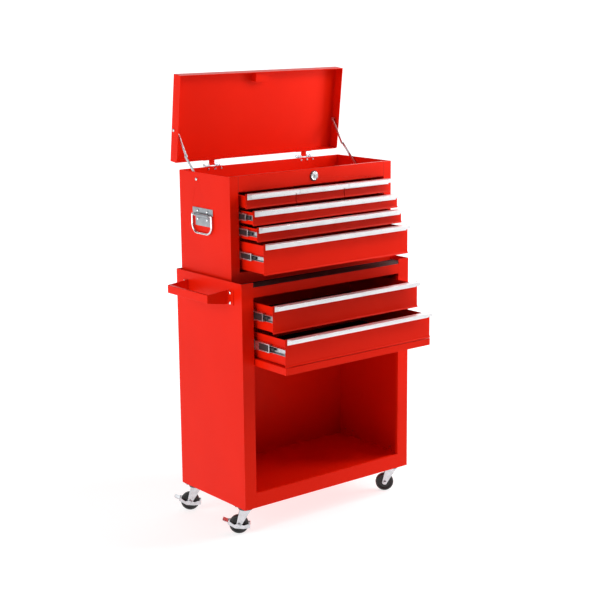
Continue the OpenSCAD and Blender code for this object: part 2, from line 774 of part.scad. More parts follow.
// Lid: drawn closed, then swung open about its hinge
module lid_swing() {
  translate([0, hinge_y, hinge_z]) rotate([-lid_angle, 0, 0]) translate([0, -hinge_y, -hinge_z]) children();
}
module lid() {
  hem_h = 8;
  catch_w = 46;
  catch_l = 30;
  catch_h = 20;
  inner = lid_half - sheet;
  leaf_t = 1.5;
  place() color(paint) lid_swing() difference() {
    union() {
      slab([-lid_half, lid_front, lid_top - sheet], [lid_half, lid_back, lid_top]);
      slab([-lid_half, lid_front, lid_rim], [lid_half, lid_front + sheet, lid_top]);
      slab([-lid_half, lid_front, lid_rim], [lid_half, lid_front + 2 * sheet, lid_rim + hem_h]);
      slab([-lid_half, lid_back - sheet, rear_rim], [lid_half, lid_back, lid_top]);
      both_sides() {
        slab([inner, lid_front, lid_rim], [lid_half, lid_back - 3, lid_top]);
        slab([inner, lid_front, rear_rim], [lid_half, lid_back, lid_top]);
        slab([inner - sheet, lid_front, lid_rim], [inner, lid_back - 3, lid_rim + hem_h]);
      }
      slab([-catch_w / 2, lid_front + sheet, lid_top - sheet - catch_h],
           [catch_w / 2, lid_front + sheet + catch_l, lid_top - sheet]);
      both_sides() translate([hinge_x - hinge_l / 2, 0, 0]) {
        slab([0, lid_back, hinge_z - 1], [hinge_l, lid_back + leaf_t, lid_top - 4]);
        slab([hinge_l / 3 + part_gap, lid_back, hinge_z - 0.8],
             [hinge_l * 2 / 3 - part_gap, hinge_y, hinge_z + 0.8]);
        rod_x(hinge_l / 3 + part_gap, hinge_l * 2 / 3 - part_gap, hinge_y, hinge_z, knuckle_r);
      }
    }
    both_sides() rod_x(hinge_x - hinge_l, hinge_x + hinge_l, hinge_y, hinge_z, hinge_pin_r + run_gap);
    for (s = [-1, 1])
      rod_x(s * lid_half - 5, s * lid_half + 5, stay_head_closed[0], stay_head_closed[1], stay_rivet_r + run_gap);
  }
}
module lid_hinges() {
  strap_z = chest_top - 1;
  leaf_h = 22;
  back = chest_back - sheet;
  place() color(zinc) both_sides() translate([hinge_x - hinge_l / 2, 0, 0]) {
    union() {
      slab([0, chest_back, strap_z - leaf_h], [hinge_l, chest_back + 1.5, strap_z + 1.5]);
      rod_x(0, hinge_l, hinge_y, hinge_z, hinge_pin_r);
      for (x = [0, hinge_l * 2 / 3]) {
        slab([x, chest_back, strap_z], [x + hinge_l / 3, hinge_y + 0.8, strap_z + 1.5]);
        slab([x, hinge_y - 0.8, strap_z], [x + hinge_l / 3, hinge_y + 0.8, hinge_z]);
        rod_x(x, x + hinge_l / 3, hinge_y, hinge_z, knuckle_r);
      }
    }
    for (x = [hinge_l / 2 - 23, hinge_l / 2, hinge_l / 2 + 23])
      rod_y(back - 1.5, back, x, chest_top - 7, 3);
  }
}
// A flat bar with round ends between two pivots, in Y and Z
module bar(p, q) {
  d = norm(q - p);
  translate(p) rotate(atan2(q[1] - p[1], q[0] - p[0])) {
    circle(d = stay_w);
    translate([d, 0]) circle(d = stay_w);
    translate([0, -stay_w / 2]) square([d, stay_w]);
  }
}
module stay_lower_links() {
  x0 = stay_foot_x;
  place() color(zinc) both_sides() union() {
    along_x(x0, x0 + stay_t) bar(stay_foot, stay_elbow);
    rod_x(x0, chest_half + head_t, stay_foot[0], stay_foot[1], stay_rivet_r);
    rod_x(chest_half + part_gap, chest_half + head_t, stay_foot[0], stay_foot[1], head_r);
    rod_x(x0 - 0.5, x0, stay_elbow[0], stay_elbow[1], stay_rivet_r + 1);
  }
}
module stay_upper_links() {
  x0 = stay_head_x;
  place() color(zinc) both_sides() union() {
    along_x(x0, x0 + stay_t) bar(stay_head, stay_elbow);
    rod_x(x0, lid_half + head_t, stay_head[0], stay_head[1], stay_rivet_r);
    rod_x(lid_half + part_gap, lid_half + head_t, stay_head[0], stay_head[1], head_r);
    rod_x(x0 - 1.5, x0, stay_elbow[0], stay_elbow[1], stay_rivet_r + 1);
  }
}

cabinet_shell();
cabinet_top();
cabinet_base();
door_tracks();
cabinet_slide_rails();
top_mat();
push_handle();
cabinet_screws();
caster_plates();
caster_fork(front_left);  // caster_fork_front_left
caster_fork(front_right);  // caster_fork_front_right
caster_fork(rear_left);  // caster_fork_rear_left
caster_fork(rear_right);  // caster_fork_rear_right
caster_wheel(front_left);  // caster_wheel_front_left
caster_wheel(front_right);  // caster_wheel_front_right
caster_wheel(rear_left);  // caster_wheel_rear_left
caster_wheel(rear_right);  // caster_wheel_rear_right
brake_pedal(front_left);  // brake_pedal_front_left
brake_pedal(rear_left);  // brake_pedal_rear_left
door_panel();
door_rollers();
low_drawer(low1_z, low1_open);  // cabinet_drawer_upper
low_pull(low1_z, low1_open);  // cabinet_drawer_upper_pull
low_runners(low1_z, low1_open);  // cabinet_drawer_upper_runners
low_mid_slides(low1_z, low1_open);  // cabinet_drawer_upper_mid_slides
low_drawer(low2_z, low2_open);  // cabinet_drawer_lower
low_pull(low2_z, low2_open);  // cabinet_drawer_lower_pull
low_runners(low2_z, low2_open);  // cabinet_drawer_lower_runners
low_mid_slides(low2_z, low2_open);  // cabinet_drawer_lower_mid_slides
small_drawer(-1);  // small_drawer_left
small_pull(-1);  // small_drawer_left_pull
small_drawer(0);  // small_drawer_middle
small_pull(0);  // small_drawer_middle_pull
small_drawer(1);  // small_drawer_right
small_pull(1);  // small_drawer_right_pull
wide_drawer(wide1_z, shallow_h, wide1_open);  // shallow_drawer_upper
wide_pull(wide1_z, shallow_h, wide1_open);  // shallow_drawer_upper_pull
chest_runners(wide1_z, shallow_h, wide1_open);  // shallow_drawer_upper_runners
chest_mid_slides(wide1_z, shallow_h, wide1_open);  // shallow_drawer_upper_mid_slides
wide_drawer(wide2_z, shallow_h, wide2_open);  // shallow_drawer_lower
wide_pull(wide2_z, shallow_h, wide2_open);  // shallow_drawer_lower_pull
chest_runners(wide2_z, shallow_h, wide2_open);  // shallow_drawer_lower_runners
chest_mid_slides(wide2_z, shallow_h, wide2_open);  // shallow_drawer_lower_mid_slides
wide_drawer(deep_z, deep_h, deep_open);  // deep_drawer
wide_pull(deep_z, deep_h, deep_open);  // deep_drawer_pull
chest_runners(deep_z, deep_h, deep_open);  // deep_drawer_runners
chest_mid_slides(deep_z, deep_h, deep_open);  // deep_drawer_mid_slides
chest_shell();
chest_base();
chest_tray();
chest_slide_rails();
lid();
lid_hinges();
lock_housing();
lock_plug();
handle_plates();
carry_handle(-1);  // carry_handle_left
carry_handle(1);  // carry_handle_right
stay_lower_links();
stay_upper_links();
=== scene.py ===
import json
import math
import bmesh
import bpy
from mathutils import Matrix, Vector


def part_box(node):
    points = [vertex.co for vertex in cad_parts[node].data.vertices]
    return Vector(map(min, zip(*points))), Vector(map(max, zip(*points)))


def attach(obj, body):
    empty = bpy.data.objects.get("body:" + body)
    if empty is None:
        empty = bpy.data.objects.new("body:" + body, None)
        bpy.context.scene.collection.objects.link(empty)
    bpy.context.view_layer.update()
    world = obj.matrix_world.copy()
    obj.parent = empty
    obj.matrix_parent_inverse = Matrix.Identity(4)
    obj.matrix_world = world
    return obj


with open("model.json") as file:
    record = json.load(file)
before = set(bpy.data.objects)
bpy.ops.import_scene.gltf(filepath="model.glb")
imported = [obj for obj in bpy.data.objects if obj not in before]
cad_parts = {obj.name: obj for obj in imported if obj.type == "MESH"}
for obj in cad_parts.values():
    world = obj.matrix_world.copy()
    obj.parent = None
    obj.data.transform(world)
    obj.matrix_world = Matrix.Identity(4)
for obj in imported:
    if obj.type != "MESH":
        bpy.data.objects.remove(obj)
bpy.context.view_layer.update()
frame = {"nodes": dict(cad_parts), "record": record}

nodes = frame["nodes"]
record = frame["record"]
mm = 0.001
slotOf = {row["node"]: row["material_slot"] for row in record["subparts"]}
print("stage: frame loaded,", len(nodes), "nodes")


# Materials: every one reads Object coordinates

def newMaterial(name):
    material = bpy.data.materials.new(name)
    material.use_nodes = True
    tree = material.node_tree
    shader = tree.nodes["Principled BSDF"]
    coords = tree.nodes.new("ShaderNodeTexCoord")
    return material, tree, shader, coords


def scaledCoords(tree, coords, scale):
    mapping = tree.nodes.new("ShaderNodeMapping")
    mapping.inputs["Scale"].default_value = scale
    tree.links.new(coords.outputs["Object"], mapping.inputs["Vector"])
    return mapping.outputs["Vector"]


def noise(tree, vector, scale, detail=2.0, roughness=0.5):
    node = tree.nodes.new("ShaderNodeTexNoise")
    node.inputs["Scale"].default_value = scale
    node.inputs["Detail"].default_value = detail
    node.inputs["Roughness"].default_value = roughness
    tree.links.new(vector, node.inputs["Vector"])
    return node.outputs["Fac"]


def mapRange(tree, value, low, high, fromLow=0.3, fromHigh=0.7):
    node = tree.nodes.new("ShaderNodeMapRange")
    node.inputs["From Min"].default_value = fromLow
    node.inputs["From Max"].default_value = fromHigh
    node.inputs["To Min"].default_value = low
    node.inputs["To Max"].default_value = high
    tree.links.new(value, node.inputs["Value"])
    return node.outputs["Result"]


def mixColors(tree, factor, first, second):
    node = tree.nodes.new("ShaderNodeMix")
    node.data_type = "RGBA"
    for socket, value in ((node.inputs[6], first), (node.inputs[7], second)):
        if isinstance(value, tuple):
            socket.default_value = (*value, 1.0)
        else:
            tree.links.new(value, socket)
    tree.links.new(factor, node.inputs[0])
    return node.outputs[2]


def bump(tree, shader, height, strength, distance, normal=None):
    node = tree.nodes.new("ShaderNodeBump")
    node.inputs["Strength"].default_value = strength
    node.inputs["Distance"].default_value = distance
    tree.links.new(height, node.inputs["Height"])
    if normal is not None:
        tree.links.new(normal, node.inputs["Normal"])
    tree.links.new(node.outputs["Normal"], shader.inputs["Normal"])
    return node.outputs["Normal"]


def powderCoat(name, settings):
    material, tree, shader, coords = newMaterial(name)
    vector = coords.outputs["Object"]
    cloud = noise(tree, vector, settings["cloudScale"], 3.0)
    speckle = noise(tree, vector, settings["speckleScale"], 2.0)
    color = mixColors(tree, mapRange(tree, cloud, 0.0, 1.0), settings["darkColor"], settings["lightColor"])
    tree.links.new(color, shader.inputs["Base Color"])
    rough = mapRange(tree, speckle, settings["roughness"] - 0.04, settings["roughness"] + 0.05)
    tree.links.new(rough, shader.inputs["Roughness"])
    shader.inputs["Specular IOR Level"].default_value = settings["specular"]
    shader.inputs["Specular Tint"].default_value = (*settings["specularTint"], 1.0)
    shader.inputs["Coat Weight"].default_value = settings["coat"]
    shader.inputs["Coat Roughness"].default_value = settings["coatRoughness"]
    peel = noise(tree, vector, settings["peelScale"], 1.0)
    first = bump(tree, shader, peel, settings["peelStrength"], 0.0003)
    ripple = noise(tree, vector, settings["rippleScale"], 1.0)
    bump(tree, shader, ripple, settings["rippleStrength"], 0.004, first)
    return material


def metal(name, settings):
    material, tree, shader, coords = newMaterial(name)
    vector = scaledCoords(tree, coords, settings["grain"])
    grain = noise(tree, vector, settings["grainScale"], 4.0, 0.6)
    blotch = noise(tree, coords.outputs["Object"], settings["blotchScale"], 3.0)
    color = mixColors(tree, mapRange(tree, blotch, 0.0, 1.0), settings["darkColor"], settings["lightColor"])
    tree.links.new(color, shader.inputs["Base Color"])
    shader.inputs["Metallic"].default_value = settings.get("metallic", 1.0)
    middle, spread = settings["roughness"], settings["spread"]
    rough = mapRange(tree, grain, middle - spread, middle + spread)
    tree.links.new(rough, shader.inputs["Roughness"])
    bump(tree, shader, grain, settings["bump"], 0.0002)
    return material


def matte(name, settings):
    material, tree, shader, coords = newMaterial(name)
    vector = scaledCoords(tree, coords, settings.get("grain", (1, 1, 1)))
    grain = noise(tree, vector, settings["grainScale"], 4.0, 0.6)
    color = mixColors(tree, mapRange(tree, grain, 0.0, 1.0), settings["darkColor"], settings["lightColor"])
    tree.links.new(color, shader.inputs["Base Color"])
    rough = mapRange(tree, grain, settings["roughness"] - 0.06, settings["roughness"] + 0.06)
    tree.links.new(rough, shader.inputs["Roughness"])
    bump(tree, shader, grain, settings["bump"], settings.get("distance", 0.0004))
    return material


def ribbed(name, settings):
    material, tree, shader, coords = newMaterial(name)
    wave = tree.nodes.new("ShaderNodeTexWave")
    wave.wave_type = "BANDS"
    wave.bands_direction = settings["direction"]
    wave.inputs["Scale"].default_value = settings["ribScale"]
    tree.links.new(coords.outputs["Object"], wave.inputs["Vector"])
    dust = noise(tree, coords.outputs["Object"], 40.0, 4.0)
    color = mixColors(tree, mapRange(tree, dust, 0.0, 1.0), settings["darkColor"], settings["lightColor"])
    tree.links.new(color, shader.inputs["Base Color"])
    shader.inputs["Roughness"].default_value = settings["roughness"]
    bump(tree, shader, wave.outputs["Fac"], settings["bump"], 0.0006)
    return material


paintLook = {
    "lightColor": (0.82, 0.0125, 0.0018), "darkColor": (0.77, 0.0105, 0.0014), "roughness": 0.38, "specular": 0.14,
    "specularTint": (1.0, 0.24, 0.12), "coat": 0.01, "coatRoughness": 0.16, "cloudScale": 5.0,
    "speckleScale": 260.0, "peelScale": 700.0, "peelStrength": 0.12, "rippleScale": 14.0, "rippleStrength": 0.05,
}
materials = {
    "paint": powderCoat("paintRed", paintLook),
    "zinc": metal("zincPlate", {
        "lightColor": (0.74, 0.76, 0.80), "darkColor": (0.56, 0.58, 0.60), "roughness": 0.30, "spread": 0.08,
        "grain": (1, 1, 1), "grainScale": 300.0, "blotchScale": 70.0, "bump": 0.06}),
    "aluminium": metal("aluminiumBrushed", {
        "lightColor": (0.95, 0.95, 0.96), "darkColor": (0.88, 0.88, 0.90), "roughness": 0.34, "spread": 0.10,
        "grain": (0.03, 1, 1), "grainScale": 1800.0, "blotchScale": 12.0, "bump": 0.10, "metallic": 0.85}),
    "chrome": metal("chromePlate", {
        "lightColor": (0.86, 0.87, 0.89), "darkColor": (0.80, 0.81, 0.83), "roughness": 0.10, "spread": 0.03,
        "grain": (1, 1, 1), "grainScale": 200.0, "blotchScale": 60.0, "bump": 0.02}),
    "black_steel": matte("steelBlack", {
        "lightColor": (0.030, 0.030, 0.032), "darkColor": (0.016, 0.016, 0.018), "roughness": 0.38,
        "grainScale": 500.0, "bump": 0.15}),
    "rubber": ribbed("rubberMat", {
        "lightColor": (0.022, 0.022, 0.022), "darkColor": (0.012, 0.012, 0.012), "roughness": 0.62,
        "direction": "X", "ribScale": 160.0, "bump": 0.5}),
    "wheel": matte("wheelRubber", {
        "lightColor": (0.030, 0.030, 0.030), "darkColor": (0.014, 0.014, 0.015), "roughness": 0.50,
        "grainScale": 240.0, "bump": 0.25}),
    "roller": matte("nylonBlack", {
        "lightColor": (0.030, 0.030, 0.030), "darkColor": (0.020, 0.020, 0.020), "roughness": 0.42,
        "grainScale": 300.0, "bump": 0.1}),
}
linerMaterial = ribbed("linerFoam", {
    "lightColor": (0.020, 0.020, 0.021), "darkColor": (0.011, 0.011, 0.012), "roughness": 0.75,
    "direction": "DIAGONAL", "ribScale": 110.0, "bump": 0.6})
# Black plastic for the levers, cage plates and brake sleeves; the same black also paints the shade inside the
# screw recesses and the keyway, and the dark rim round the lock
blackPlasticAndShadeMaterial = matte("blackPlasticAndPaintedShade", {
    "lightColor": (0.020, 0.020, 0.021), "darkColor": (0.012, 0.012, 0.013), "roughness": 0.35,
    "grainScale": 400.0, "bump": 0.08})
# Zinc darkened as painted shade: a darker copy of the zinc that stands in for the dark reflections on the handle
# plates
shadedPlateMaterial = metal("handlePlateZincPaintedShade", {
    "lightColor": (0.50, 0.53, 0.56), "darkColor": (0.36, 0.39, 0.42), "roughness": 0.34, "spread": 0.08,
    "grain": (1, 1, 1), "grainScale": 260.0, "blotchScale": 50.0, "bump": 0.08})
shadowMaterial = matte("seamShadow", {
    "lightColor": (0.060, 0.004, 0.002), "darkColor": (0.040, 0.003, 0.002), "roughness": 0.80,
    "grainScale": 300.0, "bump": 0.0})
steelMaterial = metal("ballSteel", {
    "lightColor": (0.80, 0.81, 0.82), "darkColor": (0.70, 0.71, 0.72), "roughness": 0.14, "spread": 0.03,
    "grain": (1, 1, 1), "grainScale": 100.0, "blotchScale": 60.0, "bump": 0.0})
print("stage: materials ready")


# Mesh helpers

def makeObject(name, mesh, material, body, angle=35):
    mesh.shade_smooth()
    mesh.set_sharp_from_angle(angle=math.radians(angle))
    mesh.materials.clear()
    mesh.materials.append(material)
    obj = bpy.data.objects.new(name, mesh)
    bpy.context.scene.collection.objects.link(obj)
    if body:
        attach(obj, body)
    return obj


def addBox(bm, low, high, radius=0.0, segments=2):
    made = bmesh.ops.create_cube(bm, size=1.0)["verts"]
    low, high = Vector(low), Vector(high)
    middle, size = (low + high) / 2, high - low
    for vert in made:
        vert.co = Vector((vert.co[i] * size[i] + middle[i] for i in range(3)))
    if radius > 0:
        edges = {edge for vert in made for edge in vert.link_edges}
        bmesh.ops.bevel(bm, geom=list(edges), offset=radius, segments=segments, profile=0.5, affect="EDGES")


def finishMesh(bm, name):
    bmesh.ops.recalc_face_normals(bm, faces=bm.faces)
    mesh = bpy.data.meshes.new(name)
    bm.to_mesh(mesh)
    bm.free()
    return mesh


def boxPiece(name, boxes, material, body, radius=0.0):
    bm = bmesh.new()
    for low, high in boxes:
        addBox(bm, low, high, radius)
    return makeObject(name, finishMesh(bm, name), material, body)


def instanceGroup(name, sizeName):
    # Places one mesh on every point, turned by the point's own rotation, and makes it real
    group = bpy.data.node_groups.new(name, "GeometryNodeTree")
    face = group.interface
    face.new_socket("Points", in_out="INPUT", socket_type="NodeSocketGeometry")
    piece = face.new_socket("Piece", in_out="INPUT", socket_type="NodeSocketObject")
    size = face.new_socket(sizeName, in_out="INPUT", socket_type="NodeSocketFloat")
    turn = face.new_socket("Random turn", in_out="INPUT", socket_type="NodeSocketFloat")
    look = face.new_socket("Material", in_out="INPUT", socket_type="NodeSocketMaterial")
    face.new_socket("Mesh", in_out="OUTPUT", socket_type="NodeSocketGeometry")
    new, link = group.nodes.new, group.links.new
    source, target = new("NodeGroupInput"), new("NodeGroupOutput")
    info, place = new("GeometryNodeObjectInfo"), new("GeometryNodeInstanceOnPoints")
    rotation, randomValue = new("GeometryNodeInputNamedAttribute"), new("FunctionNodeRandomValue")
    spin, realize = new("GeometryNodeRotateInstances"), new("GeometryNodeRealizeInstances")
    setLook, combine = new("GeometryNodeSetMaterial"), new("ShaderNodeCombineXYZ")
    negative = new("ShaderNodeMath")
    negative.operation = "MULTIPLY"
    negative.inputs[1].default_value = -1.0
    rotation.data_type = "FLOAT_VECTOR"
    rotation.inputs["Name"].default_value = "turn"
    randomValue.data_type = "FLOAT"
    randomValue.inputs["Seed"].default_value = 7
    link(source.outputs["Points"], place.inputs["Points"])
    link(source.outputs["Piece"], info.inputs["Object"])
    link(info.outputs["Geometry"], place.inputs["Instance"])
    link(source.outputs[sizeName], place.inputs["Scale"])
    link(rotation.outputs["Attribute"], place.inputs["Rotation"])
    link(source.outputs["Random turn"], negative.inputs[0])
    link(negative.outputs["Value"], randomValue.inputs[2])
    link(source.outputs["Random turn"], randomValue.inputs[3])
    link(randomValue.outputs[1], combine.inputs["Z"])
    link(place.outputs["Instances"], spin.inputs["Instances"])
    link(combine.outputs["Vector"], spin.inputs["Rotation"])
    link(spin.outputs["Instances"], realize.inputs["Geometry"])
    link(realize.outputs["Geometry"], setLook.inputs["Geometry"])
    link(source.outputs["Material"], setLook.inputs["Material"])
    link(setLook.outputs["Geometry"], target.inputs["Mesh"])
    sockets = {"piece": piece, "size": size, "turn": turn, "look": look}
    return group, {key: socket.identifier for key, socket in sockets.items()}


repeatGroup, repeatInputs = instanceGroup("repeatPieces", "Size")


def repeatPiece(name, piece, spots, size, randomTurn, material, body, angle=40):
    # spots is a list of (position, direction the piece's own +Z points)
    points = bpy.data.meshes.new(name + "Points")
    points.from_pydata([tuple(spot[0]) for spot in spots], [], [])
    turns = points.attributes.new("turn", "FLOAT_VECTOR", "POINT")
    for i, spot in enumerate(spots):
        turns.data[i].vector = Vector(spot[1]).to_track_quat("Z", "Y").to_euler()
    carrier = bpy.data.objects.new(name + "Carrier", points)
    bpy.context.scene.collection.objects.link(carrier)
    modifier = carrier.modifiers.new("repeat", "NODES")
    modifier.node_group = repeatGroup
    modifier[repeatInputs["piece"]] = piece
    modifier[repeatInputs["size"]] = size
    modifier[repeatInputs["turn"]] = randomTurn
    modifier[repeatInputs["look"]] = material
    bpy.context.view_layer.update()
    mesh = bpy.data.meshes.new_from_object(carrier.evaluated_get(bpy.context.evaluated_depsgraph_get()))
    mesh.name = name
    bpy.data.objects.remove(carrier)
    return makeObject(name, mesh, material, body, angle)


def sourceObject(name, bm):
    # A mesh that is only ever placed by the node group: not linked to the scene
    bmesh.ops.recalc_face_normals(bm, faces=bm.faces)
    mesh = bpy.data.meshes.new(name)
    bm.to_mesh(mesh)
    bm.free()
    return bpy.data.objects.new(name, mesh)


# CAD nodes: finish and softened edges

edgeSettings = {"default": 0.35, "caster": 0.5, "pull": 0.5, "stay": 0.4, "push_handle": 0.8, "carry": 0.0,
                "mat": 0.5}
for name, obj in nodes.items():
    obj.data.materials.clear()
    # handle_plates get the darkened zinc, with their dark reflections painted into the colour
    obj.data.materials.append(shadedPlateMaterial if name == "handle_plates" else materials[slotOf[name]])
    width = edgeSettings["default"]
    for word, value in edgeSettings.items():
        if word in name:
            width = value
    if width > 0:
        weld = obj.modifiers.new("weld", "WELD")
        weld.merge_threshold = 0.00001
        soft = obj.modifiers.new("softEdges", "BEVEL")
        soft.width = width * mm
        soft.segments = 2
        soft.limit_method = "ANGLE"
        soft.angle_limit = math.radians(40)
        soft.use_clamp_overlap = False
        soft.miter_outer = "MITER_ARC"
        normals = obj.modifiers.new("normals", "WEIGHTED_NORMAL")
        normals.weight = 80
print("stage: CAD nodes finished")


# Drawers: liners, release levers, ball cages and balls

lowNames = ["cabinet_drawer_upper", "cabinet_drawer_lower"]
wideNames = ["shallow_drawer_upper", "shallow_drawer_lower", "deep_drawer"]
smallNames = ["small_drawer_left", "small_drawer_middle", "small_drawer_right"]
linerSettings = {"thickness": 1.2, "margin": 1.5, "sheet": 1.0, "bead": 3.0, "lowOverhang": 10.7,
                 "wideOverhang": 8.0, "smallOverhang": 8.5}


def drawerLiner(name, overhang):
    low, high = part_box(name)
    s = linerSettings
    edge = (overhang + s["sheet"] + s["margin"]) * mm
    bottom = low[2] + 2 * s["sheet"] * mm
    top = bottom + s["thickness"] * mm
    front = low[1] + s["bead"] * mm + (s["sheet"] + s["margin"]) * mm
    back = high[1] - (s["sheet"] + s["margin"]) * mm
    boxPiece(name + "Liner", [((low[0] + edge, front, bottom), (high[0] - edge, back, top))], linerMaterial, name)


for names, overhang in ((lowNames, "lowOverhang"), (wideNames, "wideOverhang"), (smallNames, "smallOverhang")):
    for name in names:
        drawerLiner(name, linerSettings[overhang])

slideSettings = {
    "wall": 1.2, "ballRadius": 0.95, "ballPitch": 7.0, "ballCount": 8, "ballStart": 4, "ballInset": 3.2,
    "leverLength": 15.0, "leverHeight": 9.0, "leverStart": 14, "leverTipGap": 2, "leverDepth": (0.6, 4.4),
    "leverRound": 0.6, "plateInset": 4.0, "plateLength": 42.0, "plateThickness": 0.25, "plateMargin": 3.2,
    "cageStart": 1, "cageThickness": 0.5, "cageHalfHeight": 0.9,
}


def slideDetails(name):
    s = slideSettings
    runLow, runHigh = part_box(name + "_runners")
    midLow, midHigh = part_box(name + "_mid_slides")
    z = (midLow[2] + midHigh[2]) / 2
    wall = s["wall"] * mm
    gapZ = ((midHigh[2] - wall) + runHigh[2]) / 2
    levers, cages, plates, spots = [], [], [], []
    for side in (-1, 1):
        outer = midLow[0] if side < 0 else midHigh[0]
        edge = runLow[0] if side < 0 else runHigh[0]
        # The lever lies in the runner's channel, ahead of the middle member
        tip = midLow[1] - s["leverTipGap"] * mm
        start = max(tip - s["leverLength"] * mm, runLow[1] + s["leverStart"] * mm)
        xs = sorted(edge - side * depth * mm for depth in s["leverDepth"])
        halfLever = s["leverHeight"] / 2 * mm
        levers.append(((xs[0], start, z - halfLever), (xs[1], tip, z + halfLever)))
        plateXs = sorted((outer, outer + side * s["plateThickness"] * mm))
        plateYs = [midLow[1] + reach * mm for reach in (s["plateInset"], s["plateInset"] + s["plateLength"])]
        half = (midHigh[2] - midLow[2]) / 2 - s["plateMargin"] * mm
        plates.append(((plateXs[0], plateYs[0], z - half), (plateXs[1], plateYs[1], z + half)))
        ballX = edge - side * s["ballInset"] * mm
        cageXs = sorted((ballX, ballX + side * s["cageThickness"] * mm))
        cageEnd = s["ballCount"] * s["ballPitch"] + s["ballStart"]
        cageYs = [midLow[1] + reach * mm for reach in (s["cageStart"], cageEnd)]
        for up in (-1, 1):
            ballZ = z + up * (gapZ - z)
            halfCage = s["cageHalfHeight"] * mm
            cages.append(((cageXs[0], cageYs[0], ballZ - halfCage), (cageXs[1], cageYs[1], ballZ + halfCage)))
            for i in range(s["ballCount"]):
                ballY = midLow[1] + (s["ballStart"] + i * s["ballPitch"]) * mm
                spots.append(((ballX, ballY, ballZ), (side, 0, 0)))
    boxPiece(name + "Levers", levers, blackPlasticAndShadeMaterial, name, s["leverRound"] * mm)
    boxPiece(name + "Cages", cages, materials["zinc"], name + "_mid")
    boxPiece(name + "CagePlates", plates, blackPlasticAndShadeMaterial, name + "_mid")
    repeatPiece(name + "Balls", ballSource, spots, s["ballRadius"] * mm, 0.0, steelMaterial, name + "_mid")


ballMesh = bmesh.new()
bmesh.ops.create_uvsphere(ballMesh, u_segments=12, v_segments=8, radius=1.0)
ballSource = sourceObject("ball", ballMesh)
for name in lowNames + wideNames:
    slideDetails(name)
print("stage: drawers fitted")


# Screws, rivets, nuts, lock face and seams

def islandBoxes(name):
    # Lowest and highest corner of each separate solid of a CAD node
    mesh = nodes[name].data
    parent = list(range(len(mesh.vertices)))

    def root(i):
        while parent[i] != i:
            parent[i] = parent[parent[i]]
            i = parent[i]
        return i

    seen = {}
    for vert in mesh.vertices:
        key = tuple(round(c * 1e6) for c in vert.co)
        parent[root(vert.index)] = root(seen.setdefault(key, vert.index))
    for edge in mesh.edges:
        parent[root(edge.vertices[0])] = root(edge.vertices[1])
    groups = {}
    for vert in mesh.vertices:
        groups.setdefault(root(vert.index), []).append(vert.co)
    return [tuple(Vector([pick(c[i] for c in group) for i in range(3)]) for pick in (min, max))
            for group in groups.values()]


def turnedSource(name, profile, segments=24):
    # profile is (radius, height) from the top of the axis outwards and down
    bm = bmesh.new()
    angles = [2 * math.pi * i / segments for i in range(segments)]
    rings = []
    for radius, height in profile:
        if radius == 0:
            rings.append([bm.verts.new((0, 0, height))])
        else:
            rings.append([bm.verts.new((radius * math.cos(a), radius * math.sin(a), height)) for a in angles])
    for first, second in zip(rings, rings[1:]):
        for i in range(segments):
            j = (i + 1) % segments
            if len(first) == 1:
                bm.faces.new((first[0], second[i], second[j]))
            elif len(second) == 1:
                bm.faces.new((first[i], second[0], first[j]))
            else:
                bm.faces.new((first[i], second[i], second[j], first[j]))
    return sourceObject(name, bm)


domeProfile = [(0, 0.36), (0.35, 0.33), (0.65, 0.24), (0.88, 0.11), (1, -0.02), (1, -0.10), (0, -0.10)]
nutProfile = [(0, 0.62), (0.42, 0.60), (0.50, 0.50), (0.88, 0.50), (1, 0.40), (1, 0), (0, 0)]
domeSource = turnedSource("dome", domeProfile)
nutSource = turnedSource("nut", nutProfile, 6)
# A black cross set on each screw head paints the shade inside its cross recess
crossMesh = bmesh.new()
addBox(crossMesh, (-0.52, -0.10, 0.20), (0.52, 0.10, 0.372))
addBox(crossMesh, (-0.10, -0.52, 0.20), (0.10, 0.52, 0.371))
crossSource = sourceObject("cross", crossMesh)

jointOf = {row["name"]: row for row in record["behaviour"]["joints"]}
hardwareSettings = {
    "screwTurn": 0.8, "plateRivetRadius": 4.0, "plateRivetY": 23.0, "plateRivetZ": (42.0, 19.0),
    "plateThickness": 2, "headThickness": 2.0, "stayHeadRadius": 4.4, "nutRadius": 5.6, "nutReach": 15.6,
    "nutTurn": 0.3,
}

shellLow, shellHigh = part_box("cabinet_shell")
shellMiddle = (shellLow[0] + shellHigh[0]) / 2
screwSpots = {}
for low, high in islandBoxes("cabinet_screws"):
    middle = (low + high) / 2
    inward = middle.x > shellMiddle or middle.x < shellLow[0]
    face = Vector((low.x if inward else high.x, middle.y, middle.z))
    screwSpots.setdefault(round((high.y - low.y) / 2, 4), []).append((face, (-1 if inward else 1, 0, 0)))
for radius, spots in screwSpots.items():
    label = "screws%d" % round(radius * 10000)
    repeatPiece(label, domeSource, spots, radius, 0.0, materials["chrome"], "cabinet")
    # Black crosses painted in as the shade of the screw recesses
    repeatPiece(label + "Recess", crossSource, spots, radius, hardwareSettings["screwTurn"], blackPlasticAndShadeMaterial,
                "cabinet")

chestLow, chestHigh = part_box("chest_shell")
plateLow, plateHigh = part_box("handle_plates")
plateY = (plateLow[1] + plateHigh[1]) / 2
chestSides = ((-1, chestLow[0]), (1, chestHigh[0]))
rivetSpots = []
for side, wall in chestSides:
    x = wall + side * (hardwareSettings["plateThickness"] + hardwareSettings["headThickness"]) * mm
    for end in (-1, 1):
        y = plateY + end * hardwareSettings["plateRivetY"] * mm
        for z in hardwareSettings["plateRivetZ"]:
            rivetSpots.append(((x, y, plateLow[2] + z * mm), (side, 0, 0)))
rivetRadius = hardwareSettings["plateRivetRadius"] * mm
repeatPiece("plateRivets", domeSource, rivetSpots, rivetRadius, 0.0, materials["chrome"], "chest")

